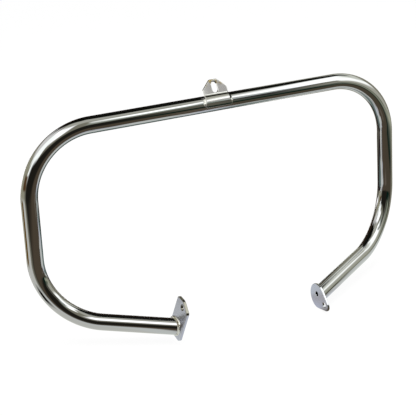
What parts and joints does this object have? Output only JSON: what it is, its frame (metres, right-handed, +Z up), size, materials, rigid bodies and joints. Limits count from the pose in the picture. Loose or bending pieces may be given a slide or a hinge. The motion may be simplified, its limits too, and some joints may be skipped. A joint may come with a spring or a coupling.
{
  "type": "motorcycle crash bars",
  "caption": "Chrome-plated engine guard for a motorcycle: a bent tube loop, a bolt plate welded on each end, and a slotted saddle bracket welded on the top bar",
  "frame": {"origin": "the middle of the top bar, on its centreline", "axes": "+X runs along the top bar, +Y points to the front of the motorcycle, away from the legs, and +Z is up; the legs sweep back towards -Y"},
  "size_m": [0.807, 0.1999, 0.455],
  "materials": {
    "tube": "mirror bright chrome plating",
    "bracket": "chrome plating over a brushed sheet",
    "plates": "satin chrome plating",
    "welds": "chrome plating over a rippled bead"
  },
  "bodies": {
    "root": {"bent_tube": "tube", "top_bracket": "bracket", "left_end_plate": "plates", "right_end_plate": "plates", "left_end_weld": "welds", "right_end_weld": "welds", "bracket_left_weld": "welds", "bracket_right_weld": "welds"}
  },
  "joints": []
}
